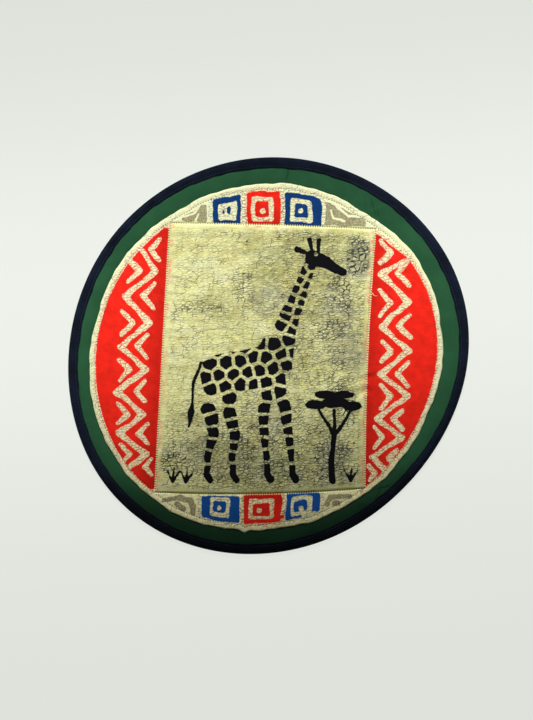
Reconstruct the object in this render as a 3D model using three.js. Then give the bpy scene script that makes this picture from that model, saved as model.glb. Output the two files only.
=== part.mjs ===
// A round padded table mat, lying face up. A dyed cotton disc is quilted onto a padded green
// cloth, and a navy tape is folded round the green cloth's edge.
// Units are millimetres and +Z is up. The origin is on the table, under the middle of the mat.
import * as THREE from "three";

// The edges seen from above, all hand-cut and uneven. Each has its centre, its mean radius, and
// the swells that make it uneven: the radius gains "by" where the direction is "at" degrees,
// and again "times" times round the edge.
const MAT_EDGE = {
  x: -2.0,
  y: 0.45,
  radius: 175.0,
  swells: [
    { times: 2, by: 5.7, at: 41 },
    { times: 3, by: 1.7, at: 5 },
    { times: 4, by: 0.35, at: 29 },
    { times: 5, by: 0.35, at: 8 },
  ],
};
const TAPE_EDGE = {
  x: -2.1,
  y: 0.3,
  radius: 166.2,
  swells: [
    { times: 2, by: 5.3, at: 39 },
    { times: 3, by: 1.8, at: 5 },
    { times: 4, by: 0.3, at: 37 },
    { times: 5, by: 0.35, at: -3 },
  ],
};
const DISC_EDGE = {
  x: -3.3,
  y: -1.4,
  radius: 153.6,
  swells: [
    { times: 2, by: 4.4, at: 35 },
    { times: 3, by: 1.1, at: 1 },
    { times: 4, by: 0.4, at: 30 },
    { times: 5, by: 0.5, at: 15 },
  ],
};

// The quilted panel's corners, and how far the middle of a side bows out of the straight
const PANEL = {
  bottomLeft: { x: -99.6, y: -119.9 },
  bottomRight: { x: 84.4, y: -116.5 },
  topLeft: { x: -86.4, y: 116.5 },
  topRight: { x: 93.8, y: 111.1 },
  bow: { left: 0, right: -2.6, bottom: -2.9, top: 0.8 },
};

const GAP = 0.3; // between pieces that touch

// Navy tape, a strip folded in two over the mat's edge
const TAPE_TOP = 4.1;
const TAPE_CROWN = 4.45; // the fold bulges between its stitching and the mat's edge
const TAPE_CROWN_AT = 0.5; // as a share of the way from the edge to the stitching
const TAPE_LAYER = 1.0; // thickness of one side of the fold
const TAPE_BEND = 2.3; // how far in the round outer edge reaches
const TAPE_END_ROUND = 0.5; // of the tape's two stitched ends
const BEND_STEPS = 4;

// Padded green cloth
const GREEN_TOP = 3.0;
const GREEN_SWELL = 0.25; // of the ring that shows between tape and disc
const RIM_BOTTOM = TAPE_LAYER + GAP; // of the thin edge that the tape grips
const RIM_TOP = TAPE_TOP - TAPE_LAYER - GAP;
const RIM_INSET = TAPE_LAYER + GAP;
const RIM_ROUND = 0.4;
const THINNING_RUN = 1.4; // beside the tape, where the cloth is pressed thin
const DISC_LAP = 12; // the flat ground reaches this far in under the dyed disc

// Dyed disc
const DISC_BOTTOM = GREEN_TOP + GAP;
const HEM_TOP = 4.35;
const HEM_ROUND = 0.6;
const SEAM_TOP = 3.85; // at the bottom of the quilting channel round the panel
const CHANNEL_RUN = 1.6; // from the seam up to the plain cloth beside it
const PANEL_CROWN = 6.0;
const BAND_CROWN = 4.95; // of the cloth between the panel and the hem
const SHOULDER = 17; // how far from a seam the padding still rises

// Fineness
const AROUND = 96; // points on each ring of the green cloth and of the tape
const NEAR_SEAM = [0, 1.6, 4.5, 9, 15, 24]; // panel rows, in from the seam
const PANEL_STEP = 11; // and then about evenly
const BAND_ROWS = [0.06, 0.16, 0.4, 0.68, 0.9]; // as shares of the way from seam to hem

const radians = THREE.MathUtils.degToRad;
const mix = THREE.MathUtils.lerp;

function radiusOf(edge, angle) {
  return edge.swells.reduce(
    (radius, swell) => radius + swell.by * Math.cos(swell.times * (angle - radians(swell.at))),
    edge.radius,
  );
}

// The point of an edge in one direction from its centre, moved inwards by an inset.
function edgePoint(edge, angle, inset, z) {
  const radius = radiusOf(edge, angle) - inset;
  return new THREE.Vector3(edge.x + radius * Math.cos(angle), edge.y + radius * Math.sin(angle), z);
}

function ring(edge, inset, z) {
  return Array.from({ length: AROUND }, (_, i) => {
    return edgePoint(edge, (2 * Math.PI * i) / AROUND, inset, z);
  });
}

// A ring that lies a share of the tape's width in from the mat's edge, and an inset further.
function tapeRing(share, inset, z) {
  const inner = ring(TAPE_EDGE, 0, 0);
  return ring(MAT_EDGE, 0, 0).map((point, i) => {
    const inward = inner[i].sub(point);
    return point.add(inward.setLength(share * inward.length() + inset)).setZ(z);
  });
}

// Joins each ring to the next with a strip of faces.
function strips(rings, faces) {
  for (let r = 0; r + 1 < rings.length; r++) {
    const [low, high] = [rings[r], rings[r + 1]];
    low.forEach((_, i) => {
      const next = (i + 1) % low.length;
      faces.push(low[i], low[next], high[next], low[i], high[next], high[i]);
    });
  }
}

// Fills a ring with a fan of faces round a point in its middle.
function fan(rim, middle, faces) {
  rim.forEach((_, i) => faces.push(middle, rim[i], rim[(i + 1) % rim.length]));
}

function middleOf(points) {
  const sum = points.reduce((total, point) => total.add(point), new THREE.Vector3());
  return sum.divideScalar(points.length);
}

function geometryOf(points, faces) {
  const geometry = new THREE.BufferGeometry().setFromPoints(points);
  geometry.setIndex(faces);
  geometry.computeVertexNormals();
  return geometry;
}

// A full disc, flat on the table, whose thin rim the tape grips.
function greenCloth() {
  const showing = ring(TAPE_EDGE, 0, 0);
  const underDisc = ring(DISC_EDGE, 0, 0);
  const swell = showing.map((point, i) => point.lerp(underDisc[i], 0.5).setZ(GREEN_TOP + GREEN_SWELL));
  const outlines = [
    tapeRing(1, GAP + THINNING_RUN, 0),
    tapeRing(1, GAP, RIM_BOTTOM),
    tapeRing(0, RIM_INSET + RIM_ROUND, RIM_BOTTOM),
    tapeRing(0, RIM_INSET, (RIM_BOTTOM + RIM_TOP) / 2),
    tapeRing(0, RIM_INSET + RIM_ROUND, RIM_TOP),
    tapeRing(1, GAP, RIM_TOP),
    tapeRing(1, GAP + THINNING_RUN, GREEN_TOP),
    swell,
    ring(DISC_EDGE, 0, GREEN_TOP),
    ring(DISC_EDGE, DISC_LAP, GREEN_TOP),
  ];
  const points = outlines.flat();
  const rings = outlines.map((outline, r) => outline.map((_, i) => r * AROUND + i));
  const faces = [];
  strips(rings, faces);
  fan(rings.at(-1), points.push(middleOf(outlines.at(-1))) - 1, faces);
  fan(rings[0].toReversed(), points.push(middleOf(outlines[0])) - 1, faces);
  return geometryOf(points, faces);
}

// Half an ellipse of tape rings round the mat's edge, from one height to the other.
function bendRings(reach, from, to) {
  return Array.from({ length: BEND_STEPS + 1 }, (_, i) => {
    const turn = (Math.PI * i) / BEND_STEPS;
    const z = mix(from, to, (1 - Math.cos(turn)) / 2);
    return tapeRing(0, TAPE_BEND - reach * Math.sin(turn), z);
  });
}

// The tape's section runs along its underside, round the bend, back over the top, and then
// along the inside of the fold, where it grips the green cloth.
function navyTape() {
  const outlines = [
    tapeRing(1, 0, TAPE_END_ROUND),
    tapeRing(1, -TAPE_END_ROUND, 0),
    ...bendRings(TAPE_BEND, 0, TAPE_TOP),
    tapeRing(TAPE_CROWN_AT, 0, TAPE_CROWN),
    tapeRing(1, -TAPE_END_ROUND, TAPE_TOP),
    tapeRing(1, 0, TAPE_TOP - TAPE_END_ROUND),
    tapeRing(1, 0, TAPE_TOP - TAPE_LAYER),
    ...bendRings(TAPE_BEND - TAPE_LAYER, TAPE_TOP - TAPE_LAYER, TAPE_LAYER),
    tapeRing(1, 0, TAPE_LAYER),
  ];
  const rings = outlines.map((outline, r) => outline.map((_, i) => r * AROUND + i));
  const faces = [];
  strips([...rings, rings[0]], faces);
  return geometryOf(outlines.flat(), faces);
}

// A point of the panel, from its share of the way across (u) and of the way up (v).
function panelPoint(u, v, z) {
  const { bottomLeft, bottomRight, topLeft, topRight, bow } = PANEL;
  const blend = (axis) => {
    const bottom = mix(bottomLeft[axis], bottomRight[axis], u);
    const top = mix(topLeft[axis], topRight[axis], u);
    return mix(bottom, top, v);
  };
  const acrossBow = 4 * v * (1 - v) * mix(bow.left, bow.right, u);
  const upBow = 4 * u * (1 - u) * mix(bow.bottom, bow.top, v);
  return new THREE.Vector3(blend("x") + acrossBow, blend("y") + upBow, z);
}

// Places of the panel's rows along one of its sides: close together near the seams.
function rowsAlong(length) {
  const edgeRows = NEAR_SEAM.map((distance) => distance / length);
  const first = edgeRows.at(-1);
  const last = 1 - first;
  const steps = Math.round(((last - first) * length) / PANEL_STEP);
  const middleRows = Array.from({ length: steps - 1 }, (_, i) => mix(first, last, (i + 1) / steps));
  return [...edgeRows, ...middleRows, ...edgeRows.map((share) => 1 - share).reverse()];
}

// How full the padding is at a distance from a seam: none on it, all of it past the shoulder.
const fullness = (distance, run) => Math.sin((Math.min(distance / run, 1) * Math.PI) / 2);

function panelHeight(fromSide, fromEnd) {
  const full = fullness(fromSide, SHOULDER) * fullness(fromEnd, SHOULDER);
  return mix(SEAM_TOP, PANEL_CROWN, Math.sqrt(full));
}

function bandHeight(fromSeam, fromHem) {
  const onSeamSide = mix(SEAM_TOP, HEM_TOP, fullness(fromSeam, CHANNEL_RUN));
  const ground = fromSeam < fromHem ? onSeamSide : HEM_TOP;
  return mix(ground, BAND_CROWN, fullness(fromSeam, SHOULDER) * fullness(fromHem, SHOULDER));
}

// One cloth: the panel in the middle, the band from its seam out to the hem, and a flat back.
function dyedDisc() {
  const width = PANEL.bottomRight.x - PANEL.bottomLeft.x;
  const height = PANEL.topLeft.y - PANEL.bottomLeft.y;
  const points = [];
  const faces = [];
  const grid = rowsAlong(height).map((v) => rowsAlong(width).map((u) => {
    const z = panelHeight(Math.min(u, 1 - u) * width, Math.min(v, 1 - v) * height);
    return points.push(panelPoint(u, v, z)) - 1;
  }));
  const lastRow = grid.length - 1;
  const lastColumn = grid[0].length - 1;
  for (let r = 0; r < lastRow; r++) {
    for (let c = 0; c < lastColumn; c++) {
      const [a, b, d, e] = [grid[r][c], grid[r][c + 1], grid[r + 1][c], grid[r + 1][c + 1]];
      faces.push(a, b, e, a, e, d);
    }
  }
  // The seam, once round the panel, clockwise from above
  const seam = [
    ...grid.slice(0, lastRow).map((row) => row[0]),
    ...grid[lastRow].slice(0, lastColumn),
    ...grid.slice(1).map((row) => row[lastColumn]).reverse(),
    ...grid[0].slice(1).reverse(),
  ];
  const rays = seam.map((index) => {
    const start = points[index];
    const angle = Math.atan2(start.y - DISC_EDGE.y, start.x - DISC_EDGE.x);
    return { start, angle, end: edgePoint(DISC_EDGE, angle, HEM_ROUND, HEM_TOP) };
  });
  const addRing = (placeOn) => rays.map((ray) => points.push(placeOn(ray)) - 1);
  const band = BAND_ROWS.map((share) => addRing(({ start, end }) => {
    const point = start.clone().lerp(end, share);
    const run = Math.hypot(end.x - start.x, end.y - start.y);
    return point.setZ(bandHeight(share * run, (1 - share) * run));
  }));
  const rings = [
    seam,
    ...band,
    addRing(({ end }) => end),
    addRing(({ angle }) => edgePoint(DISC_EDGE, angle, 0, (HEM_TOP + DISC_BOTTOM) / 2)),
    addRing(({ angle }) => edgePoint(DISC_EDGE, angle, HEM_ROUND, DISC_BOTTOM)),
  ];
  strips(rings, faces);
  const middle = new THREE.Vector3(DISC_EDGE.x, DISC_EDGE.y, DISC_BOTTOM);
  fan(rings.at(-1), points.push(middle) - 1, faces);
  return geometryOf(points, faces);
}

function piece(name, geometry, color, roughness) {
  const material = new THREE.MeshStandardMaterial({ color, roughness, metalness: 0 });
  const mesh = new THREE.Mesh(geometry, material);
  mesh.name = name;
  return mesh;
}

const mat = new THREE.Group();
mat.add(piece("green_cloth", greenCloth(), "#2b5a3a", 0.9));
mat.add(piece("dyed_disc", dyedDisc(), "#e2deb0", 0.9));
mat.add(piece("edge_tape", navyTape(), "#11182a", 0.85));

export default mat;
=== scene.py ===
"""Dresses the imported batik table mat: its dyed and quilted cloth, green ground, navy edge and sewing.

Sizes are millimetres, measured from the middle of the mat with X to the right and Y up the panel.
Meshes, settings and the stage are in metres.
"""

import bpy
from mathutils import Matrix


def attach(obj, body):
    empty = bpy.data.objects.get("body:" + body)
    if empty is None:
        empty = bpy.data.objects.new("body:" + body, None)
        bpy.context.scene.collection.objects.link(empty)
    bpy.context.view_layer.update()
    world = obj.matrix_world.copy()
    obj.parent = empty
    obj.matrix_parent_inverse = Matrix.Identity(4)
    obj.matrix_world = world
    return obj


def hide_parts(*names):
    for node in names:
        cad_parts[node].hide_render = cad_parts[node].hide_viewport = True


bl_info = {
    "name": "Batik Table Mat",
    "version": (1, 0, 0),
    "blender": (4, 5, 0),
    "location": "View3D > Sidebar > Batik Mat",
    "description": "Makes a round quilted batik table mat over its packed solids",
    "category": "Object",
}

import math

import bpy
import numpy as np
from bpy.props import FloatProperty, FloatVectorProperty, PointerProperty
from mathutils import Vector

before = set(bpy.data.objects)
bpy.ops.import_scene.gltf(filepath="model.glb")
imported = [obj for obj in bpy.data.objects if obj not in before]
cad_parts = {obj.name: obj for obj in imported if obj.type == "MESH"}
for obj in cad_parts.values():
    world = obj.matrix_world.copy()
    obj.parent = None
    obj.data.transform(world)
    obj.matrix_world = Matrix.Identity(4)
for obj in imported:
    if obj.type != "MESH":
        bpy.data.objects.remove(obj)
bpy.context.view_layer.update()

MM = 0.001


# Edges seen from above, as in the solids


def swell(angle, swells):
    """The sum of swells round a closed edge: how many times each comes round, its size and its place."""
    return sum(by * np.cos(times * (angle - math.radians(at))) for times, by, at in swells)


class Edge:
    """A closed edge: its centre, its mean radius, and the swells that make it uneven."""

    def __init__(self, x, y, radius, swells):
        self.centre = np.array([x, y])
        self.radius = radius
        self.swells = swells

    def radius_at(self, angle):
        return self.radius + swell(angle, self.swells)

    def point(self, angle, inset=0.0):
        radius = self.radius_at(angle) - inset
        return self.centre + np.stack([radius * np.cos(angle), radius * np.sin(angle)], axis=-1)

    def angle_of(self, points):
        return np.arctan2(points[:, 1] - self.centre[1], points[:, 0] - self.centre[0])

    def depth(self, points):
        """How far each point lies inside the edge, along its own radius."""
        return self.radius_at(self.angle_of(points)) - np.linalg.norm(points - self.centre, axis=1)


# Each swell is how many times it comes round, by how much, and the direction where it is fullest
MAT_EDGE = Edge(-2.0, 0.45, 175.0, [(2, 5.7, 41), (3, 1.7, 5), (4, 0.35, 29), (5, 0.35, 8)])
TAPE_EDGE = Edge(-2.1, 0.3, 166.2, [(2, 5.3, 39), (3, 1.8, 5), (4, 0.3, 37), (5, 0.35, -3)])
DISC_EDGE = Edge(-3.3, -1.4, 153.6, [(2, 4.4, 35), (3, 1.1, 1), (4, 0.4, 30), (5, 0.5, 15)])

# The panel's corners, and how far the middle of a side bows out of the straight
BOTTOM_LEFT = np.array([-99.6, -119.9])
BOTTOM_RIGHT = np.array([84.4, -116.5])
TOP_LEFT = np.array([-86.4, 116.5])
TOP_RIGHT = np.array([93.8, 111.1])
BOW_LEFT = 0.0
BOW_RIGHT = -2.6
BOW_BOTTOM = -2.9
BOW_TOP = 0.8
PANEL_WIDTH = BOTTOM_RIGHT[0] - BOTTOM_LEFT[0]
PANEL_HEIGHT = TOP_LEFT[1] - BOTTOM_LEFT[1]

# Heights above the table, and how far the padding takes to rise from a seam
GREEN_TOP = 3.0
DISC_BOTTOM = 3.3
HEM_TOP = 4.35
SEAM_TOP = 3.85
SEAM_GROOVE = 0.45
SEAM_LIP = 0.6
PANEL_CROWN = 6.0
BAND_CROWN = 4.95
TAPE_TOP = 4.1
TAPE_CROWN = 4.45
TAPE_LAYER = 1.0
TAPE_BEND = 2.3
SHOULDER = 17.0


def mix(low, high, share):
    return low + (high - low) * share


def smooth(value, low, high):
    """Rises softly from 0 at low to 1 at high."""
    share = np.clip((value - low) / (high - low), 0, 1)
    return share * share * (3 - 2 * share)


def bell(value, width):
    """1 at 0, and fading away on both sides."""
    return np.exp(-(value / width) ** 2)


def panel_point(u, v):
    """A point of the panel, from its shares of the way across and up."""
    u, v = np.broadcast_arrays(np.asarray(u, float), np.asarray(v, float))
    bottom = mix(BOTTOM_LEFT, BOTTOM_RIGHT, u[..., None])
    top = mix(TOP_LEFT, TOP_RIGHT, u[..., None])
    across = 4 * v * (1 - v) * mix(BOW_LEFT, BOW_RIGHT, u)
    up = 4 * u * (1 - u) * mix(BOW_BOTTOM, BOW_TOP, v)
    return mix(bottom, top, v[..., None]) + np.stack([across, up], axis=-1)


def seam_path(pitch):
    """Points evenly spaced along the panel's seam, and their places along it."""
    shares = np.linspace(0, 1, 400, endpoint=False)
    sides = [panel_point(0, shares), panel_point(shares, 1), panel_point(1, 1 - shares),
             panel_point(1 - shares, 0)]
    return evenly(np.concatenate(sides), pitch)


def evenly(loop, pitch):
    """Walks round a closed loop of points in steps of nearly the pitch."""
    closed = np.vstack([loop, loop[:1]])
    places = np.concatenate([[0], np.cumsum(np.linalg.norm(np.diff(closed, axis=0), axis=1))])
    count = round(places[-1] / pitch)
    steps = np.arange(count) * places[-1] / count
    points = np.stack([np.interp(steps, places, closed[:, axis]) for axis in (0, 1)], axis=-1)
    return points, steps


def nearest_on(path, steps, points, batch=4000):
    """For each point, its distance from a path and the place along the path that is nearest."""
    distance = np.empty(len(points))
    along = np.empty(len(points))
    for start in range(0, len(points), batch):
        part = slice(start, start + batch)
        gaps = np.linalg.norm(points[part, None] - path[None], axis=2)
        distance[part] = gaps.min(axis=1)
        along[part] = steps[gaps.argmin(axis=1)]
    return distance, along


# The dyed pattern: each function gives how far each point lies inside a colour


def lumps(points, size, seed):
    """Smooth hills and hollows about as wide as the size, mostly between -1 and 1."""
    draw = np.random.default_rng(seed)
    waves = 14
    turns = draw.uniform(0, 2 * np.pi, waves)
    lengths = 2 * size * draw.uniform(0.7, 1.7, waves)
    starts = draw.uniform(0, 2 * np.pi, waves)
    total = np.zeros(len(points))
    for turn, length, begin in zip(turns, lengths, starts):
        total += np.sin(2 * np.pi * (points @ [math.cos(turn), math.sin(turn)]) / length + begin)
    return total * math.sqrt(0.5 / waves)


def uneven(points, rows):
    """How far padded cloth rises and falls. Each row is a size, a seed and a height."""
    return sum(lumps(points, size, seed) * by for size, seed, by in rows)


def by_hand(points, size, sway, seed):
    """Moves points softly about, so that a shape worked out on them looks drawn by hand."""
    return points + sway * np.stack([lumps(points, size, seed), lumps(points, size, seed + 1)], axis=-1)


def stroke(points, path):
    """Inside a brushed line. Its path is a list of x, y and half width."""
    inside = np.full(len(points), -1000.0)
    for (ax, ay, ar), (bx, by, br) in zip(path, path[1:]):
        start, run = np.array([ax, ay]), np.array([bx - ax, by - ay])
        share = np.clip((points - start) @ run / max(run @ run, 1e-9), 0, 1)
        gap = np.linalg.norm(points - start - share[:, None] * run, axis=1)
        inside = np.maximum(inside, mix(ar, br, share) - gap)
    return inside


def strokes(points, paths):
    return np.max([stroke(points, path) for path in paths], axis=0)


def block(points, left, right, one, other, corner):
    """Inside an upright block with round corners, between two levels that may be arrays."""
    low, high = np.minimum(one, other), np.maximum(one, other)
    across = np.abs(points[:, 0] - (left + right) / 2) - (right - left) / 2 + corner
    up = np.abs(points[:, 1] - (low + high) / 2) - (high - low) / 2 + corner
    outside = np.hypot(np.maximum(across, 0), np.maximum(up, 0))
    return corner - outside - np.minimum(np.maximum(across, up), 0)


def reach(points, x, y, across, up):
    """How far out of an oval each point lies: 0 in its middle and 1 on its edge."""
    return np.hypot((points[:, 0] - x) / across, (points[:, 1] - y) / up)


def blob(points, x, y, across, up):
    """Inside an oval."""
    return (1 - reach(points, x, y, across, up)) * min(across, up)


def blobs(points, rows):
    return np.max([blob(points, *row) for row in rows], axis=0)


def seam_x(y, side):
    """Where the panel's left or right seam is, at a height up the mat."""
    seam = panel_point(0.0 if side < 0 else 1.0, np.linspace(0, 1, 60))
    return np.interp(y, seam[:, 1], seam[:, 0])


def seam_y(x, end):
    """Where the panel's top or bottom seam is, at a place across the mat."""
    seam = panel_point(np.linspace(0, 1, 60), 1.0 if end > 0 else 0.0)
    return np.interp(x, seam[:, 0], seam[:, 1])


def panel_depth(points):
    """About how far each point lies inside the panel."""
    x, y = points.T
    across = np.minimum(x - seam_x(y, -1), seam_x(y, 1) - x)
    return np.minimum(across, np.minimum(y - seam_y(x, -1), seam_y(x, 1) - y))


def disc_y(x, end):
    """Where the dyed disc ends, at the top or bottom, at a place across the mat."""
    edge = DISC_EDGE.point(np.linspace(0, np.pi, 121) * end)
    order = np.argsort(edge[:, 0])
    return np.interp(x, edge[order, 0], edge[order, 1])


# The side bands, left and right. Each zigzag has the height of its first bend, how far its middle
# keeps from the seam, how far it swings, and where it starts: how far over the first bend, and from
# how far out and up. The red keeps a margin from the hem, with a little more from a height of 82 up
# to the band's top.
BANDS = {
    -1: {"first_bend": 74.0, "from_seam": 26.5, "swing": 11.2, "start": (17.0, 3.0, 4.0),
         "hem_margin": 5.5, "at_top": 0.8, "top": 112.0, "seed": 4},
    1: {"first_bend": 70.6, "from_seam": 24.3, "swing": 12.2, "start": (11.8, 13.0, 4.0),
        "hem_margin": 5.2, "at_top": 4.5, "top": 106.5, "seed": 12},
}
BAND_BOTTOM = -117.0
BAND_UNDER_SEAM = 0.5
BENDS = 9
BEND_STEP = 22.7
BEND_TIGHTENS = 0.75
ZIGZAG_START_SWING = 0.35
ZIGZAG_END = 12.5
ZIGZAG_LEANS_IN = 4.5
ZIGZAG_HALF_WIDTH = 2.0
ZIGZAG_BEND_HALF_WIDTH = 3.0
FIRST_CHEVRON = 19.0
CHEVRON_FROM_BEND = 14.0
CHEVRON_ARM = (12.0, 12.2)
CHEVRON_HALF_WIDTH = 1.75
CHEVRON_TIP_HALF_WIDTH = 2.5
SEAM_CHEVRON_NARROW = 0.86
SEAM_CHEVRON_SHIFTS = 0.025
SEAM_CHEVRON_SHRINKS = 0.038
HEM_CHEVRON_SIZE = 0.9
HEM_CHEVRON_SHRINKS = 0.028


def zigzag_lines(side):
    """The waxed zigzag of one side band, and a chevron in each of its bends."""
    band = BANDS[side]
    draw = np.random.default_rng(band["seed"])
    rise, out, up = band["start"]
    falls = np.cumsum([0, *(BEND_STEP - BEND_TIGHTENS * np.arange(BENDS - 1))])
    ys = band["first_bend"] - np.array([-rise, *falls, falls[-1] + ZIGZAG_END])
    ys += draw.uniform(-1, 1, BENDS + 2)
    off_seam = band["from_seam"] - ZIGZAG_LEANS_IN * ((ys + 6) / 75) ** 2
    bend = -side * np.where(np.arange(BENDS + 2) % 2 == 1, 1, -1)
    swing = band["swing"] * draw.uniform(0.9, 1.1, BENDS + 2)
    swing[[0, -1]] *= ZIGZAG_START_SWING
    xs = seam_x(ys, side) + side * off_seam + bend * swing
    zigzag = [(xs[0] + side * out, ys[0] + up, ZIGZAG_HALF_WIDTH)]
    for turn in range(1, BENDS + 1):
        half_way = ((xs[turn] + xs[turn - 1]) / 2, (ys[turn] + ys[turn - 1]) / 2)
        zigzag.append((*half_way, ZIGZAG_HALF_WIDTH * draw.uniform(0.9, 1.15)))
        zigzag.append((xs[turn], ys[turn], ZIGZAG_BEND_HALF_WIDTH * draw.uniform(0.85, 1.05)))
    zigzag.append((xs[-1] + side * 4, ys[-1] - 3, ZIGZAG_HALF_WIDTH))
    lines = [zigzag]
    for turn in range(BENDS + 2):
        at_end = turn in (0, BENDS + 1)
        seam_side = bend[turn] == side
        shift = CHEVRON_FROM_BEND * draw.uniform(0.92, 1.08) * (0.5 if turn == 0 else 0.75 if at_end else 1)
        shift *= 1 + SEAM_CHEVRON_SHIFTS * turn if seam_side else 1
        x, y = xs[turn] - bend[turn] * shift, ys[turn] + draw.uniform(-0.8, 0.8)
        if turn == 0:
            y = ys[1] + FIRST_CHEVRON
        size = draw.uniform(0.92, 1.04) * (0.85 if at_end else 1)
        size *= (1 - SEAM_CHEVRON_SHRINKS * turn if seam_side
                 else HEM_CHEVRON_SIZE * (1 - HEM_CHEVRON_SHRINKS * turn))
        out = bend[turn] * CHEVRON_ARM[0] * size * (SEAM_CHEVRON_NARROW if seam_side else 1)
        rise = CHEVRON_ARM[1] * size
        arms = [(x - out * draw.uniform(0.92, 1.08), y + way * rise * draw.uniform(0.92, 1.08))
                for way in (1, -1)]
        tip = (x, y, CHEVRON_TIP_HALF_WIDTH * draw.uniform(0.9, 1.1))
        lines.append([(*arms[0], CHEVRON_HALF_WIDTH), tip,
                      (*arms[1], CHEVRON_HALF_WIDTH * draw.uniform(0.9, 1.2))])
    return lines


def side_band(points, side):
    """The red of one side band, with its waxed zigzag and chevrons left out."""
    band = BANDS[side]
    x, y = points.T
    in_hem = DISC_EDGE.depth(points) - band["hem_margin"] - band["at_top"] * smooth(y, 82, 99)
    past_seam = side * (x - seam_x(y, side)) + BAND_UNDER_SEAM
    waxed = strokes(by_hand(points, 9, 0.7, 31), zigzag_lines(side))
    return np.min([in_hem, past_seam, band["top"] - y, y - BAND_BOTTOM, -waxed], axis=0)


# The blocks above and below the panel. The ring that is waxed in each starts so far in from the
# block's left, right, seam side and hem side, and leaves a core as far in again as "wax". A dot is
# x, y and radius, a spot x, y and two half widths, and a mark is waxed.
BLOCKS = [
    {"end": 1, "left": -48.8, "right": -24.2, "from_seam": -0.4, "colour": "blue",
     "ring": (4.8, 3.2, 3.4, 5.6), "spots": [(-34.6, 127.6, 1.7, 3.5), (-39.3, 126.2, 1.1, 1.9)]},
    {"end": 1, "left": -19.1, "right": 10.4, "from_seam": -0.4, "colour": "red",
     "ring": (3.9, 5.9, 3.4, 4.6), "wax": (3.9, 4.1, 4.0, 4.0), "dot": (-4.9, 127.8, 2.3)},
    {"end": 1, "left": 14.4, "right": 46.3, "from_seam": -0.4, "colour": "blue",
     "ring": (4.8, 7.6, 3.6, 4.8), "wax": (3.8, 3.9, 3.9, 3.8), "dot": (28.2, 127.6, 2.4)},
    {"end": -1, "left": -58.7, "right": -25.4, "from_seam": 2.0, "colour": "blue",
     "ring": (7.0, 8.5, 1.4, 3.4), "wax": (2.4, 3.0, 3.0, 4.2), "dot": (-43.1, -133.2, 2.1)},
    {"end": -1, "left": -21.7, "right": 11.3, "from_seam": 0.3, "colour": "red",
     "ring": (4.2, 6.2, 4.2, 3.8), "wax": (3.6, 3.8, 3.6, 2.9), "dot": (-8.0, -135.6, 2.3)},
    {"end": -1, "left": 15.1, "right": 44.9, "from_seam": 0.3, "colour": "blue",
     "ring": (4.6, 6.6, 3.0, 2.4), "wax": (3.0, 4.4, 3.6, 3.4), "dot": (28.6, -133.6, 2.0),
     "marks": [[(28.6, -133.6, 1.9), (30.6, -140.0, 2.0)], [(31.0, -141.5, 2.3), (40.5, -139.0, 2.4)]]},
]
HEM_MARGIN = {1: 6.6, -1: 5.8}
BLOCK_CORNER = 2.0


def end_block(points, row):
    """A dyed block with a waxed ring in it, and a dyed core in the ring with a waxed dot."""
    end = row["end"]
    points = by_hand(points, 8, 0.75, 41)
    near = seam_y(points[:, 0], end) + end * row["from_seam"]
    far = disc_y(points[:, 0], end) - end * HEM_MARGIN[end]

    def nested(from_left, from_right, from_near, from_far):
        return block(points, row["left"] + from_left, row["right"] - from_right, near + end * from_near,
                     far - end * from_far, BLOCK_CORNER)

    dyed = np.minimum(nested(0, 0, 0, 0), -nested(*row["ring"]))
    if "spots" in row:
        return np.maximum(dyed, blobs(points, row["spots"]))
    x, y, radius = row["dot"]
    core = np.minimum(nested(*np.add(row["ring"], row["wax"])), -blob(points, x, y, radius, radius * 1.1))
    dyed = np.maximum(dyed, core)
    return np.minimum(dyed, -strokes(points, row["marks"])) if "marks" in row else dyed


# The grey corners. The upper two are wedges with waxed marks in them, and the lower two are brushed
# lines. Paths are x, y and half width.
WEDGES = [
    {"left": -75.5, "right": -54.0, "wax": [[(-76, 121.5, 0.9), (-66, 125, 1.1), (-60, 131, 0.9)],
                                            [(-64, 117, 1.0), (-62, 124, 0.8)]]},
    {"left": 50.0, "right": 85.5, "wax": [[(58, 133, 1.0), (63, 128, 1.3), (70, 123, 1.2), (79, 121, 1.0)],
                                          [(54, 128, 0.9), (57, 121, 1.0), (66, 118.5, 1.0)]]},
]
WEDGE_FROM_SEAM = 1.4
WEDGE_FROM_HEM = 8.0
WEDGE_LEAST_HEIGHT = 2.0
GREY_LINES = [
    [(-92, -126, 2.0), (-80, -125.2, 2.3), (-68, -126, 2.5), (-66.5, -133, 2.4), (-66.8, -139, 2.2)],
    [(-80, -130.5, 2.4), (-75.5, -133.5, 3.0)],
    [(51, -130.5, 2.0), (54, -124.5, 2.2), (63, -122.8, 2.0), (71.5, -124.5, 2.0)],
    [(58, -129.5, 2.6), (61, -128.6, 2.4)],
]


def grey_corners(points):
    points = by_hand(points, 7, 0.9, 51)
    near = seam_y(points[:, 0], 1) + WEDGE_FROM_SEAM
    far = disc_y(points[:, 0], 1) - WEDGE_FROM_HEM
    parts = [strokes(points, GREY_LINES)]
    for wedge in WEDGES:
        fill = block(points, wedge["left"], wedge["right"], near, far, 1.5)
        parts.append(np.min([fill, far - near - WEDGE_LEAST_HEIGHT, -strokes(points, wedge["wax"])], axis=0))
    return np.max(parts, axis=0)


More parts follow.
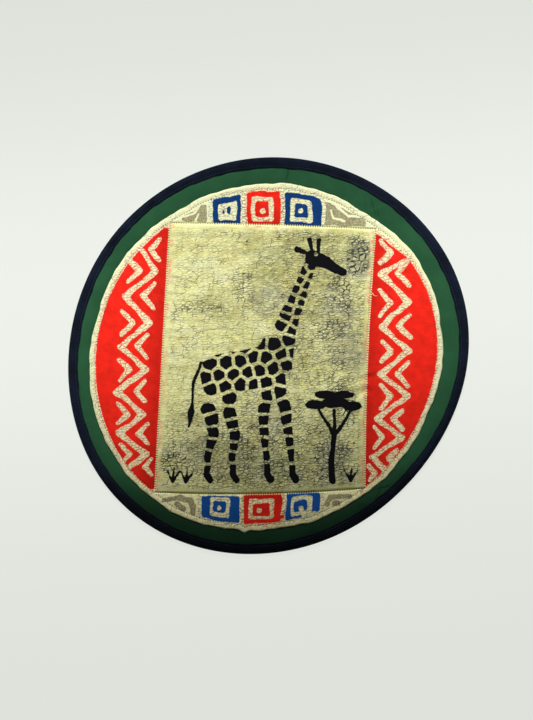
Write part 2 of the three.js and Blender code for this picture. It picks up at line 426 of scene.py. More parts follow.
# The panel's figures, in black dye: a long-necked grazing animal that walks to the right, and a
# flat-topped thorn tree. Paths are x, y and half width.
BODY_AND_NECK = [
    [(-44, -15, 16.5), (-22, -13, 17.5), (2, -8, 19.5)],
    [(5, 0, 17.5), (16, 27, 10.0), (27, 55, 7.2), (36, 79, 5.4)],
]
LEGS = [
    [(7, -20, 9.0), (14, -44, 5.6), (17, -66, 4.7), (20, -86, 3.3), (21, -101, 2.9)],
    [(0, -22, 8.5), (-4, -46, 5.4), (-4, -66, 4.6), (-2, -86, 3.2), (-1, -101, 2.9)],
    [(-47, -22, 12.0), (-52, -46, 7.6), (-48, -67, 5.2), (-53, -87, 3.5), (-54, -101, 3.0)],
    [(-36, -26, 9.5), (-35, -48, 6.6), (-29, -69, 4.8), (-32, -88, 3.3), (-31, -101, 2.9)],
]
HEAD_AND_TAIL = [
    [(38, 86, 6.6), (50, 82, 5.4), (61, 75, 3.7), (65, 73, 3.5)],
    [(33, 90, 1.4), (25, 93, 2.6)],
    [(38, 91, 1.5), (36, 102, 2.1)],
    [(44, 91, 1.5), (44, 101, 2.1)],
    [(-59, -6, 1.5), (-66, -24, 1.2), (-67, -42, 1.2), (-68, -50, 2.9), (-70, -62, 1.0)],
]
HOOVES = [[(x, -104, half), (x + 3, -109, half + 0.4)]
          for x, half in ((21, 2.9), (-1, 2.9), (-54, 3.0), (-31, 2.9))]
TREE = [
    [(56, -109, 3.2), (55, -88, 2.4), (58, -70, 2.1)],
    [(58, -70, 1.8), (48, -54, 1.4), (44, -47, 1.2)],
    [(58, -70, 1.7), (58, -48, 1.3)],
    [(58, -70, 1.7), (68, -55, 1.4), (72, -48, 1.2)],
]
GRASS = [[(x, y, 1.5), (x + lean, y + 12 - abs(lean) / 2, 0.6)]
         for x, y in ((72, -110), (-72, -111), (-84, -110)) for lean in (-5, 1, 6)]
LEAVES = [(42, -43, 10, 4.0), (58, -41, 12, 5.0), (73, -44, 9, 4.0), (50, -34, 10, 3.8), (66, -34, 10, 3.6)]
EYE = (41.5, 88.5, 1.7, 1.7)
PATCH_GAP = 1.35
PATCH_MOST = 6.6
PATCHES_APART = 8.0
PATCHES_SHY_OF_COAT = 0.3

# Stray drops of dye: x, y and the two half widths
BLACK_DROPS = [(-32, 109.7, 1.0, 0.9), (-18.9, 100.1, 1.4, 0.9), (88.5, 47.4, 0.8, 0.9),
               (70.1, -22.5, 0.8, 0.8), (75.0, -76.6, 0.9, 0.9)]
RED_DROP = (11.6, -141.2, 2.6, 1.7)


def patch_middles():
    """Where the animal's patches are: rows along its body, two down its neck and one down each leg."""
    draw = np.random.default_rng(27)
    middles = [(-56 + 12.2 * column + 6 * (row % 2), 4 - 11 * row + 1.4 * column)
               for row in range(4) for column in range(7)]
    for share in np.linspace(0, 1, 8):
        x, y, spread = mix(16, 36, share), mix(24, 80, share), mix(6.0, 2.9, share)
        middles += [(x - spread, y + 2.6), (x + spread, y - 2.6)]
    for leg in LEGS:
        spots = [mix(np.array(start[:2]), np.array(end[:2]), share) for start, end in zip(leg, leg[1:])
                 for share in (0.05, 0.5)]
        for spot in [*spots, leg[-1][:2]]:
            if np.linalg.norm(np.array(middles) - spot, axis=1).min() > PATCHES_APART:
                middles.append(tuple(spot))
    return np.array(middles) + draw.uniform(-1.7, 1.7, (len(middles), 2))


def figures(points):
    """The panel's black figures, the animal's coat broken into patches by waxed lines."""
    points = by_hand(points, 8, 0.6, 61)
    middles = patch_middles()
    gaps = np.linalg.norm(points[:, None] - middles[None], axis=2)
    order = np.argsort(gaps, axis=1)[:, :2]
    near, far = np.take_along_axis(gaps, order, axis=1).T
    apart = np.linalg.norm(middles[order[:, 1]] - middles[order[:, 0]], axis=1)
    to_line = (far ** 2 - near ** 2) / (2 * np.maximum(apart, 1e-6))
    patch = np.minimum(to_line - PATCH_GAP, PATCH_MOST - near)
    coat = np.minimum(strokes(points, BODY_AND_NECK + LEGS) - PATCHES_SHY_OF_COAT, patch)
    solid = strokes(points, HEAD_AND_TAIL + HOOVES + TREE + GRASS)
    return np.minimum(np.max([coat, solid, blobs(points, LEAVES)], axis=0), -blob(points, *EYE))


# The panel's broad stains, and where the wax cracked most: x, y, the two half widths and the strength
STAINS = {
    "olive_stain": [
        (24, 66, 52, 52, 1.0), (44, 92, 44, 30, 0.8), (62, 40, 30, 34, 0.6), (-40, 42, 30, 24, 0.6),
        (-62, -12, 26, 18, 0.3), (-72, -56, 24, 9, 0.7), (-50, -84, 30, 22, 0.75), (0, -96, 96, 34, 0.5),
        (-14, -74, 16, 34, 0.5), (50, -66, 22, 34, 0.55), (8, 0, 60, 26, 0.6), (76, -100, 24, 24, 0.4),
        (4, 50, 28, 24, 0.95), (-10, 98, 32, 18, 0.6), (72, 8, 26, 28, 0.7)],
    "grey_stain": [
        (78, 84, 15, 24, 0.9), (60, 38, 22, 26, 0.95), (61, -96, 24, 26, 0.9), (-64, -82, 24, 20, 0.7),
        (8, -50, 13, 26, 0.75), (-8, -96, 30, 22, 0.6), (72, 6, 24, 26, 0.85), (30, -104, 30, 14, 0.6),
        (0, 48, 24, 22, 0.8)],
    "cracked": [
        (78, 88, 15, 18, 1.0), (64, 56, 12, 22, 0.6), (-60, 42, 26, 8, 0.5), (-4, -102, 92, 18, 0.5),
        (-22, -86, 18, 30, 0.55), (55, 22, 24, 16, 0.65), (56, -92, 26, 26, 0.7), (12, 10, 26, 10, 0.5),
        (66, -40, 14, 34, 0.6), (-20, 58, 12, 26, 0.4), (-84, -92, 16, 18, 0.75), (30, 104, 34, 8, 0.4),
        (44, 34, 62, 96, 0.3), (0, -84, 110, 60, 0.4)],
}


def soft_spots(points, rows):
    """How strong the broad soft spots are at each point, the strongest counting."""
    points = by_hand(points, 15, 4.0, 71)
    return np.max([row[4] * (1 - smooth(reach(points, *row[:4]), 0.35, 1.15)) for row in rows], axis=0)


# Depths are cut off here, further out than any finish looks
FAR_OUTSIDE = -12.0


def dyes(points):
    """Each colour of dye, as how far every point lies inside it, and how strong the stains are."""
    dyed = {"red": [side_band(points, -1), side_band(points, 1), blob(points, *RED_DROP)], "blue": []}
    for row in BLOCKS:
        dyed[row["colour"]].append(end_block(points, row))
    within = panel_depth(points)
    dyed["grey"] = [grey_corners(points)]
    dyed["black"] = [np.minimum(figures(points), within), blobs(points, BLACK_DROPS)]
    values = {name: np.clip(np.max(parts, axis=0), FAR_OUTSIDE, -FAR_OUTSIDE) for name, parts in dyed.items()}
    for name, rows in STAINS.items():
        values[name] = soft_spots(points, rows) * smooth(within, -1, 3)
    return values


# Cloth meshes


def fullness(distance, run):
    """Rises from 0 at a seam to 1 where the run ends, steeply at first as padding does."""
    return np.sin(np.clip(distance / run, 0, 1) * np.pi / 2)


def turned(angles, at):
    """How far round each direction lies from another, at most half a turn either way."""
    return (angles - at + np.pi) % (2 * np.pi) - np.pi


def raised(places, height):
    """Points at a height over their places on the mat."""
    return np.column_stack([places, np.broadcast_to(height, len(places))])


def strip_faces(rings):
    """Quads between rings that run clockwise, each ring outside or below the one before."""
    return np.concatenate([np.stack([low, np.roll(low, -1), np.roll(high, -1), high], axis=-1)
                           for low, high in zip(rings, rings[1:])])


def ring_indices(first, count, rings):
    return [first + np.arange(count) + count * row for row in range(rings)]


def fan(ring, hub):
    """Triangles from a ring to the point in its middle."""
    return [(a, b, hub) for a, b in zip(ring, np.roll(ring, -1))]


def make_mesh(name, points, faces, attributes=()):
    """A mesh object, from points in millimetres and lists of faces."""
    mesh = bpy.data.meshes.new(name)
    mesh.from_pydata((points * MM).tolist(), [], [[int(index) for index in face] for face in faces])
    mesh.validate()
    for key, values in dict(attributes).items():
        mesh.attributes.new(key, "FLOAT", "POINT").data.foreach_set("value", values.astype(np.float32))
    mesh.shade_smooth()
    piece = bpy.data.objects.new(name, mesh)
    bpy.context.scene.collection.objects.link(piece)
    return piece


# The first rows beside a seam, where the cloth rises fastest
NEAR_SEAM = np.array([0, 0.5, 1.0, 1.6, 2.3, 3.1])


def rows_along(length, pitch):
    """Shares of a panel side for its rows, closer together by the seams."""
    first = NEAR_SEAM[-1]
    inner = np.linspace(first, length - first, round((length - 2 * first) / pitch) + 1)
    return np.concatenate([NEAR_SEAM[:-1], inner, length - NEAR_SEAM[-2::-1]]) / length


class Quilt:
    """The panel as a grid of points, with the direction of each point of its seam."""

    def __init__(self, pitch):
        across, up = rows_along(PANEL_WIDTH, pitch), rows_along(PANEL_HEIGHT, pitch)
        self.u, self.v = (grid.ravel() for grid in np.meshgrid(across, up))
        self.panel = panel_point(self.u, self.v)
        index = np.arange(len(self.panel)).reshape(len(up), len(across))
        self.seam = np.concatenate([index[:-1, 0], index[-1, :-1], index[:0:-1, -1], index[0, :0:-1]])
        self.angles = DISC_EDGE.angle_of(self.panel[self.seam])
        corners = [index[:-1, :-1], index[:-1, 1:], index[1:, 1:], index[1:, :-1]]
        self.faces = np.stack(corners, axis=-1).reshape(-1, 4)


# Puckers across the panel's right seam: x, y, the way they run, length, half width and depth
PUCKERS = [(86.5, -19.6, 188, 22, 2.4, 1.3), (86.5, -19.6, 14, 16, 2.2, 1.0),
           (84.6, -30.1, 212, 19, 2.4, 1.2), (84.6, -30.1, 350, 11, 2.2, 0.7)]
PUCKER_RIDGE = 0.8

# The hem's hand-turned waviness, as swells of its edge, and its small pointed tab
HEM_WAVES = [(6, 0.33, 21), (7, 0.38, -16), (9, 0.28, -5), (10, 0.3, -1), (16, 0.28, -4), (23, 0.26, 3),
             (37, 0.22, 5), (61, 0.16, 2), (94, 0.10, 1)]
HEM_PUFFS = [(124, 0.07, 0), (190, 0.06, 1), (67, 0.08, 2)]
HEM_WIDTH = 4.8
TAB_ANGLE = math.radians(263.3)
TAB_HALF_WIDTH = 6.0
TAB_LENGTH = 3.2
HEM_GROOVE = 0.28
HEM_RIDGE = 0.16
HEM_RIDGE_AT = 2.2
HEM_TURNS_DOWN = 0.25
HEM_ROLL = 0.6
HEM_UNDERCUT = 0.5
OFF_THE_GROUND = 0.05

# How the cloth is drawn in along the panel's seam: wavelengths, sizes and starts
SEAM_RIPPLES = [(7.3, 0.5, 0.0), (4.9, 0.35, 1.7), (11.9, 0.6, 0.6)]
SEAM_RIPPLE_HEIGHT = 0.13

# The padding's unevenness: sizes, seeds and heights
DYED_LUMPS = [(22, 3, 0.14), (7, 8, 0.07)]
GREEN_LUMPS = [(20, 5, 0.16), (6, 1, 0.07)]

# How finely the seam is walked along when the nearest place on it is looked for
SEAM_STEP = 0.5
BACK_SEAM_STEP = 0.7

# Rows of the band round the panel, as shares of the way out to the hem
BAND_SHARES = [0.012, 0.026, 0.045, *np.linspace(0.065, 1, 53)]
FAR_FROM_SEAM = 50.0


def hem_wave(angles):
    """How far the wavy hem reaches beyond its mean edge, with the little pointed tab."""
    from_tab = np.abs(turned(angles, TAB_ANGLE)) * DISC_EDGE.radius
    return swell(angles, HEM_WAVES) + TAB_LENGTH * np.clip(1 - from_tab / TAB_HALF_WIDTH, 0, 1) ** 1.4


def pucker_drop(points):
    """How deep the puckers are at each point. Each is a valley with a ridge on one side."""
    drop = np.zeros(len(points))
    for x, y, direction, length, half_width, depth in PUCKERS:
        angle = math.radians(direction)
        offset = points - np.array([x, y])
        along = offset @ np.array([math.cos(angle), math.sin(angle)])
        across = offset @ np.array([-math.sin(angle), math.cos(angle)])
        fade = np.clip(1 - along / length, 0, 1) * smooth(along, -1.5, 1.5)
        ridge = PUCKER_RIDGE * bell(across - 2 * half_width, half_width)
        drop += depth * fade * (bell(across, half_width) - ridge)
    return drop


class MAT_OT_dyed_cloth(bpy.types.Operator):
    """Make the dyed cotton disc, quilted round its panel and hemmed by hand"""

    bl_idname = "batik_mat.dyed_cloth"
    bl_label = "Dyed Cloth"

    def execute(self, context):
        sizes = context.scene.batik_mat_sizes
        quilt = Quilt(sizes.cloth_pitch / MM)
        wave = hem_wave(quilt.angles)
        start, end = quilt.panel[quilt.seam], DISC_EDGE.point(quilt.angles, inset=HEM_ROLL - wave)
        flat = np.concatenate([quilt.panel, *(mix(start, end, share) for share in BAND_SHARES)])
        seam, along = nearest_on(*seam_path(SEAM_STEP), flat)
        hem = DISC_EDGE.depth(flat) + hem_wave(DISC_EDGE.angle_of(flat))
        height = self.heights(quilt, flat, seam, along, hem)
        count = len(quilt.seam)
        rim = raised(DISC_EDGE.point(quilt.angles, inset=-wave), mix(DISC_BOTTOM, height[-count:], 0.5))
        base = raised(DISC_EDGE.point(quilt.angles, inset=HEM_UNDERCUT - wave), DISC_BOTTOM)
        points = np.vstack([raised(flat, height), rim, base, [[*DISC_EDGE.centre, DISC_BOTTOM]]])
        rings = [quilt.seam, *ring_indices(len(quilt.panel), count, len(BAND_SHARES) + 2)]
        faces = [*quilt.faces, *strip_faces(rings), *fan(rings[-1], len(points) - 1)]

        # Each attribute, and what it is on the cloth's hidden edge and back
        seen = {key: (values, FAR_OUTSIDE) for key, values in dyes(flat).items()}
        seen["seam"] = (seam, FAR_FROM_SEAM)
        seen["panel"] = (smooth(panel_depth(flat), -0.3, 0.3), 0.0)
        seen["along"] = (along, 0.0)
        seen["hem"] = (hem, 0.0)
        hidden = len(points) - len(flat)
        attributes = {key: np.append(values, np.full(hidden, below)) for key, (values, below) in seen.items()}

        piece = make_mesh("dyed_cloth", points, faces, attributes)
        piece.data.materials.append(dyed_cotton(context.scene.batik_mat_colours, sizes))
        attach(piece, "root")
        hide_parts("dyed_disc")
        return {"FINISHED"}

    @staticmethod
    def heights(quilt, flat, seam, along, hem):
        """Height of the cloth's face: the padded panel, the band round it, and the hem."""
        band_full = fullness(seam, SHOULDER) * fullness(hem, SHOULDER)
        height = mix(mix(SEAM_TOP, HEM_TOP, fullness(seam, 1.6)), BAND_CROWN, band_full)

        # The padded panel, with the lip where its cloth turns down to the seam
        from_side = np.minimum(quilt.u, 1 - quilt.u) * PANEL_WIDTH
        from_end = np.minimum(quilt.v, 1 - quilt.v) * PANEL_HEIGHT
        full = np.sqrt(fullness(from_side, SHOULDER) * fullness(from_end, SHOULDER))
        near = seam[:len(quilt.panel)]
        lip = SEAM_LIP * fullness(near, 1.8) * (1 - smooth(near, 3, 15))
        height[:len(near)] = mix(SEAM_TOP, PANEL_CROWN, full) + lip

        # The sewn-down seam, the cloth's unevenness, and how it is drawn in along the seam
        height -= SEAM_GROOVE * bell(seam, 0.9)
        height += uneven(flat, DYED_LUMPS) * smooth(seam, 0.5, 9) * smooth(hem, 0, 8)
        drawn_in = sum(size * np.sin(2 * np.pi * along / length + begin)
                       for length, size, begin in SEAM_RIPPLES)
        height += SEAM_RIPPLE_HEIGHT * drawn_in * smooth(seam, 0.2, 2.0) * np.exp(-seam / 5)

        # The hem's small puffs, the groove of its stitches, its crown and its turned-down edge
        height += swell(DISC_EDGE.angle_of(flat), HEM_PUFFS) * bell(hem - 2, 3)
        height -= HEM_GROOVE * bell(hem - HEM_WIDTH, 0.8) * smooth(seam, 0.5, 3)
        height += HEM_RIDGE * bell(hem - HEM_RIDGE_AT, 1.6)
        height -= HEM_TURNS_DOWN * smooth(0.9 - hem, 0, 0.9)

        height -= pucker_drop(flat) * smooth(PANEL_CROWN - height, -3, 0.5)
        return np.maximum(height, DISC_BOTTOM + OFF_THE_GROUND)


# Soft tucks of the green ring: direction in degrees, half width, size and lean
TUCKS = [(85.0, 2.4, 0.7, 0.10), (56.5, 2.0, 0.6, -0.15), (52.5, 2.4, 0.5, 0.10), (310.0, 3.2, 0.7, 0.25),
         (304.0, 2.6, 0.4, -0.10), (197.0, 3.0, 0.3, 0.15), (148.0, 2.6, 0.3, -0.10), (12.0, 3.4, 0.35, 0.05)]

# The green cloth's edge inside the tape: share of the tape's width, inset and height
GREEN_RIM = [(1.0, 0.2, 2.7), (0.0, 1.75, 2.75), (0.0, 1.35, 2.05), (0.0, 1.75, 1.35), (1.0, 0.2, 1.35)]
GREEN_PITCH = 1.5
GREEN_AT_TAPE = 2.7
GREEN_CROWN = 3.5
GREEN_LEAST = 2.3
TUCK_RIDGE = 0.7
TUCK_RIDGE_AT = 1.7
BACK_GROOVE = 0.45
BACK_GROOVE_HALF_WIDTH = 1.3


def tape_line(angles, share, inset=0.0):
    """A line that lies a share of the tape's width in from the mat's edge, and an inset further."""
    outer, inner = MAT_EDGE.point(angles), TAPE_EDGE.point(angles)
    inward = inner - outer
    width = np.linalg.norm(inward, axis=1, keepdims=True)
    return outer + inward / width * (share * width + np.reshape(inset, (-1, 1)))


class MAT_OT_green_ground(bpy.types.Operator):
    """Make the padded green cloth, with its plain quilted back"""

    bl_idname = "batik_mat.green_ground"
    bl_label = "Green Ground"

    def execute(self, context):
        quilt = Quilt(GREEN_PITCH)
        path = seam_path(BACK_SEAM_STEP)
        angles = quilt.angles
        tape, disc = tape_line(angles, 1.0), DISC_EDGE.point(angles)
        cap = raised(mix(tape, disc, 1.8), GREEN_TOP)
        rings = []
        for share in (1.25, *np.linspace(1, 0.09, 19), 0.05, 0.02, 0.0):
            place = mix(tape, disc, share)
            rings.append(raised(place, self.ring_height(place, tape, disc)))
        rings += [raised(tape_line(angles, share, inset), height) for share, inset, height in GREEN_RIM]
        flat_start = tape_line(angles, 1.0, 1.2)
        back = [mix(flat_start, disc, share) for share in (0.0, 0.2, 0.45, 0.7, 0.9, 1.0)]
        back += [mix(disc, quilt.panel[quilt.seam], share) for share in np.linspace(0.05, 1, 20)[:-1]]
        rings += [raised(place, self.back_height(place, path)) for place in back]
        panel = raised(quilt.panel, self.back_height(quilt.panel, path))
        points = np.vstack([panel, cap, *rings, [[*DISC_EDGE.centre, GREEN_TOP]]])
        indices = [*ring_indices(len(panel), len(angles), 1 + len(rings)), quilt.seam]
        lid = fan(indices[0][::-1], len(points) - 1)
        faces = [*quilt.faces[:, ::-1], *strip_faces(indices), *lid]
        flat = points[:, :2]
        seam, _ = nearest_on(*path, flat)
        on_back = points[:, 2] < 1.0
        attributes = {"seam": np.where(on_back, seam, FAR_FROM_SEAM), "hem": DISC_EDGE.depth(flat)}
        piece = make_mesh("green_ground", points, faces, attributes)
        piece.data.materials.append(green_cotton(context.scene.batik_mat_colours))
        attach(piece, "root")
        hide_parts("green_cloth")
        return {"FINISHED"}

    @staticmethod
    def ring_height(place, tape, disc):
        """Height of the green ring that shows: pressed at both seams, full between, and tucked."""
        past_disc = DISC_EDGE.depth(place)
        share = np.clip(np.linalg.norm(place - tape, axis=1) / np.linalg.norm(disc - tape, axis=1), 0, 1)
        between = np.sin(np.pi * share)
        height = mix(GREEN_AT_TAPE, GREEN_CROWN, np.sin(np.pi * (0.12 + share * 0.88).clip(0, 1)) ** 0.6)
        for direction, half_width, size, lean in TUCKS:
            at = math.radians(direction) + lean * (share - 0.5) * 0.4
            turn = turned(DISC_EDGE.angle_of(place), at) * DISC_EDGE.radius
            ridge = TUCK_RIDGE * bell(turn - TUCK_RIDGE_AT * half_width, half_width)
            height += size * (bell(turn, half_width) - ridge) * between ** 0.5
        height += uneven(place, GREEN_LUMPS) * between
        least = np.where(past_disc < 0, GREEN_LEAST + 0.3, GREEN_LEAST)
        return mix(np.maximum(height, least), GREEN_TOP, smooth(past_disc, -1.2, 1.2))

    @staticmethod
    def back_height(place, path):
        """Height of the back: flat on the table, with a shallow groove where it is quilted."""
        seam, _ = nearest_on(*path, place)
        from_hem = DISC_EDGE.depth(place) - HEM_WIDTH
        return BACK_GROOVE * (bell(seam, BACK_GROOVE_HALF_WIDTH) + bell(from_hem, BACK_GROOVE_HALF_WIDTH))


# The tape's lip on the face and the flat of its back: share of the tape's width, inset and height
TAPE_LIP = [(1.0, 0.0, TAPE_TOP - TAPE_LAYER), (1.0, 0.1, 3.5), (1.0, -0.1, 3.8), (1.0, -0.6, TAPE_TOP - 0.1),
            (1.0, -1.3, TAPE_TOP - 0.12), (1.0, -1.9, TAPE_TOP - 0.2), (1.0, -2.6, TAPE_TOP + 0.06)]
TAPE_BACK = [(0.6, 0.0, 0.0), (1.0, -0.5, 0.0), (1.0, 0.0, 0.35), (1.0, 0.0, TAPE_LAYER)]

# How loosely the tape's lip lies, how the tape puffs up and how its lip is gathered, as swells
TAPE_LOOSE = [(27, 0.25, 2), (51, 0.2, 5), (84, 0.12, 1)]
TAPE_PUFFS = [(100, 0.09, 0), (160, 0.07, 1), (15, 0.12, 20), (71, 0.08, 5)]
TAPE_GATHERS = [(200, 0.05, 0), (290, 0.04, 1)]
TAPE_POINTS = 880
TAPE_FACE_SHARES = (0.62, 0.5, 0.38, 0.28)


class MAT_OT_bound_edge(bpy.types.Operator):
    """Make the navy tape, folded over the mat's edge"""

    bl_idname = "batik_mat.bound_edge"
    bl_label = "Bound Edge"

    def execute(self, context):
        angles = -np.arange(TAPE_POINTS) * 2 * np.pi / TAPE_POINTS
        loose, puff, gather = (swell(angles, swells) for swells in (TAPE_LOOSE, TAPE_PUFFS, TAPE_GATHERS))

        def ring(share, inset, height):
            return raised(tape_line(angles, share, np.broadcast_to(inset, len(angles))), height)

        rings = [ring(share, inset + loose, height + gather) for share, inset, height in TAPE_LIP]
        rings += [ring(share, 0.0, TAPE_CROWN - 0.7 * (share - 0.45) ** 2 + puff)
                  for share in TAPE_FACE_SHARES]
        for turn in np.linspace(0, math.pi, 13):
            inset = TAPE_BEND * (1 - abs(math.sin(turn)) ** 0.8)
            height = TAPE_TOP / 2 * (1 + math.cos(turn))
            rings.append(ring(0.0, inset, height + puff * (0.5 + 0.5 * math.cos(turn))))
        rings += [ring(*row) for row in TAPE_BACK]
        for turn in np.linspace(0, math.pi, 7):
            inset = TAPE_BEND - (TAPE_BEND - TAPE_LAYER) * math.sin(turn)
            rings.append(ring(0.0, inset, TAPE_TOP / 2 - (TAPE_TOP / 2 - TAPE_LAYER) * math.cos(turn)))
        indices = ring_indices(0, TAPE_POINTS, len(rings))
        piece = make_mesh("bound_edge", np.vstack(rings), strip_faces([*indices, indices[0]]))
        piece.data.materials.append(navy_cotton(context.scene.batik_mat_colours))
        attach(piece, "root")
        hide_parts("edge_tape")
        return {"FINISHED"}


# Sewing

# How much further apart the stitches of the hem and the edge are than the panel's, how far onto
# the tape the edge's lie, how unevenly stitches lie and turn, and how flat they are
ROUND_STITCHES = 1.15
EDGE_STITCHES_ON_TAPE = 1.8
STITCH_WANDER = 0.09
STITCH_TURN = 0.1
FLATTER = 0.8
BACK_THICKNESS = 0.6


def one_stitch(length, half_width, half_height):
    """The points and faces of a stitch: a small loaf of thread that dips at both ends."""
    bpy.ops.object.select_all(action="DESELECT")
    bpy.ops.mesh.primitive_uv_sphere_add(segments=6, ring_count=6, radius=1.0)
    stitch = bpy.context.active_object
    bpy.ops.object.mode_set(mode="EDIT")
    bpy.ops.mesh.select_all(action="SELECT")
    bpy.ops.transform.rotate(value=math.pi / 2, orient_axis="Y", center_override=(0, 0, 0))
    bpy.ops.transform.resize(value=(length / 2 * MM, half_width * MM, half_height * MM))
    bpy.ops.object.mode_set(mode="OBJECT")
    points = np.array([vertex.co[:] for vertex in stitch.data.vertices]) / MM
    faces = [np.array(face.vertices) for face in stitch.data.polygons]
    bpy.data.objects.remove(stitch)
    return points, faces


def sew(places, height, stitch, turns=0.0):
    """Copies a stitch along a closed row of places."""
    base, faces = stitch
    heading = np.roll(places, -1, axis=0) - np.roll(places, 1, axis=0)
    angle = np.arctan2(heading[:, 1], heading[:, 0]) + turns
    cos, sin = np.cos(angle)[:, None], np.sin(angle)[:, None]
    x = places[:, :1] + base[:, 0] * cos - base[:, 1] * sin
    y = places[:, 1:] + base[:, 0] * sin + base[:, 1] * cos
    z = np.broadcast_to(height + base[:, 2], x.shape)
    points = np.stack([x, y, z], axis=-1).reshape(-1, 3)
    return points, [face + len(base) * copy for copy in range(len(places)) for face in faces]


class MAT_OT_sewing(bpy.types.Operator):
    """Sew the panel's seam, the hem and the bound edge, with the matching rows on the back"""

    bl_idname = "batik_mat.sewing"
    bl_label = "Sewing"

    def execute(self, context):
        sizes, colours = context.scene.batik_mat_sizes, context.scene.batik_mat_colours
        draw = np.random.default_rng(5)
        pitch, half = sizes.stitch_pitch / MM, sizes.thread_width / MM / 2
        angles = np.linspace(0, 2 * np.pi, 2000, endpoint=False)
        hem_line = DISC_EDGE.point(angles, inset=HEM_WIDTH - hem_wave(angles))
        hem_places, _ = evenly(hem_line, pitch * ROUND_STITCHES)
        edge_line = tape_line(angles, 1.0, -EDGE_STITCHES_ON_TAPE)
        edge_places, _ = evenly(edge_line, pitch * ROUND_STITCHES)
        seam_places, _ = seam_path(pitch)
        cream = thread("cream_thread", colours.thread_cream, colours.olive)
        blue = thread("blue_thread", colours.thread_blue, colours.navy)
        navy = thread("navy_thread", colours.lint, colours.navy)
        # Name, places, heights on the face and the back, thread, and length as a share of the pitch
        rows = [
            ("panel_stitches", seam_places, SEAM_TOP - SEAM_GROOVE + 0.16, 0.27, cream, 0.80),
            ("hem_stitches", hem_places, HEM_TOP - 0.02, 0.27, blue, 0.72),
            ("edge_stitches", edge_places, TAPE_TOP - 0.1, 0.16, navy, 0.72),
        ]
        for name, places, height, under, finish, share in rows:
            wander = draw.uniform(-STITCH_WANDER, STITCH_WANDER, places.shape)
            turns = draw.uniform(-STITCH_TURN, STITCH_TURN, len(places))
            stitch = one_stitch(pitch * share, half, half * FLATTER)
            points, faces = sew(places + wander, height, stitch, turns)
            stitch = one_stitch(pitch * share, half * FLATTER, half * BACK_THICKNESS)
            backs, back_faces = sew(places, under, stitch)
            faces += [face + len(points) for face in back_faces]
            piece = make_mesh(name, np.vstack([points, backs]), faces)
            piece.data.materials.append(finish)
            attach(piece, "root")
        return {"FINISHED"}


# A loose end of thread at the panel's right seam: its bends, with their heights
LOOSE_END = np.array([(90.8, 56.2, 3.5), (91.2, 55.0, 4.2), (91.9, 53.7, 4.9),
                      (92.9, 52.7, 5.2), (94.2, 52.3, 5.1), (95.3, 52.5, 5.0)])


class MAT_OT_loose_end(bpy.types.Operator):
    """Leave a loose end of thread at the panel's seam"""

    bl_idname = "batik_mat.loose_end"
    bl_label = "Loose End"

    def execute(self, context):
        colours = context.scene.batik_mat_colours
        half = context.scene.batik_mat_sizes.thread_width / MM / 3
        around = np.arange(6) * np.pi / 3
        run = np.gradient(LOOSE_END, axis=0)
        run /= np.linalg.norm(run, axis=1, keepdims=True)
        aside = np.cross(run, (0, 0, 1.0))
        aside /= np.linalg.norm(aside, axis=1, keepdims=True)
        above = np.cross(aside, run)
        ring = np.cos(around)[:, None, None] * aside - np.sin(around)[:, None, None] * above
        points = (LOOSE_END + half * ring).transpose(1, 0, 2).reshape(-1, 3)
        rings = ring_indices(0, len(around), len(LOOSE_END))
        piece = make_mesh("loose_end", points, [*strip_faces(rings), rings[0][::-1], rings[-1]])
        piece.data.materials.append(thread("loose_thread", colours.thread_cream, colours.pale))
        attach(piece, "root")
        return {"FINISHED"}


# Finishes


class Value:
    """A number that a material's nodes work out, for use in plain sums."""

    def __init__(self, finish, socket):
        self.finish = finish
        self.socket = socket

    def maths(self, operation, *values):
        """What an operation makes of this number, and of others where it takes them."""
        node = self.finish.node("ShaderNodeMath", enumerate([self, *values]), operation=operation)
        return Value(self.finish, node.outputs[0])

    def __add__(self, other):
        return self.maths("ADD", other)

    def __sub__(self, other):
        return self.maths("SUBTRACT", other)

    def __mul__(self, other):
        return self.maths("MULTIPLY", other)

    def greater(self, other):
        """The greater of this number and another."""
        return self.maths("MAXIMUM", other)

    def __abs__(self):
        return self.maths("ABSOLUTE")

    def step(self, low, high, to_low=0.0, to_high=1.0):
        """Rises smoothly from one value to another as this one goes from low to high."""
        inputs = enumerate((self, low, high, to_low, to_high))
        node = self.finish.node("ShaderNodeMapRange", inputs, interpolation_type="SMOOTHSTEP")
        return Value(self.finish, node.outputs[0])


